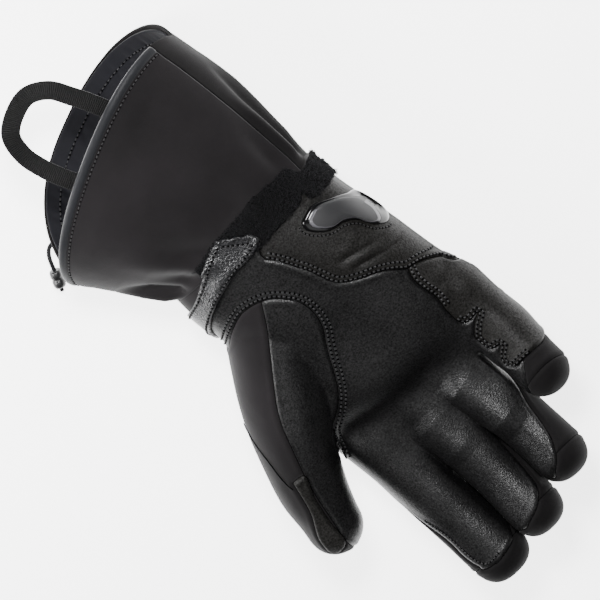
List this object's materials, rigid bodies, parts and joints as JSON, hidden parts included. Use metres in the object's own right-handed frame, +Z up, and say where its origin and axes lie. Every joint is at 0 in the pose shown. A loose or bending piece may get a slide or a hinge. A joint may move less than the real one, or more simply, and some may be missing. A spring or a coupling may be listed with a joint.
{
  "type": "heated glove",
  "caption": "Padded right-hand winter glove with a flared gauntlet cuff, leather palm, wrist strap and pull loop, lying palm up.",
  "frame": {"origin": "on the flat of the back of the hand where the glove rests, under the middle of the palm", "axes": "+Y from the cuff to the fingertips, +X to the thumb side, +Z up out of the palm"},
  "size_m": [0.1683, 0.3705, 0.0705],
  "materials": {
    "palm_leather": "grained",
    "softshell": "matt knit",
    "back_softshell": "matt knit",
    "patch_leather": "grained",
    "hard_guard": "polished with a matt plate",
    "loop_pile": "napped",
    "strap_leather": "pebbled",
    "lining": "matt",
    "binding": "satin",
    "webbing": "ribbed",
    "elastic": "matt",
    "lock_plastic": "smooth"
  },
  "bodies": {
    "root": {"palm_leather": "palm_leather", "hand_back": "back_softshell", "tip_cap_index": "back_softshell", "tip_cap_middle": "back_softshell", "tip_cap_ring": "back_softshell", "tip_cap_little": "back_softshell", "thumb_leather": "palm_leather", "thumb_softshell": "softshell", "thumb_tip_patch": "patch_leather", "heel_patch": "patch_leather", "little_finger_patch": "patch_leather", "palm_guard": "hard_guard", "loop_patch": "loop_pile", "wrist_strap": "strap_leather", "cuff_palm": "softshell", "cuff_back": "back_softshell", "cuff_lining": "lining", "hem_binding": "binding", "pull_loop": "webbing", "drawcord": "elastic", "cord_lock": "lock_plastic"}
  },
  "joints": []
}
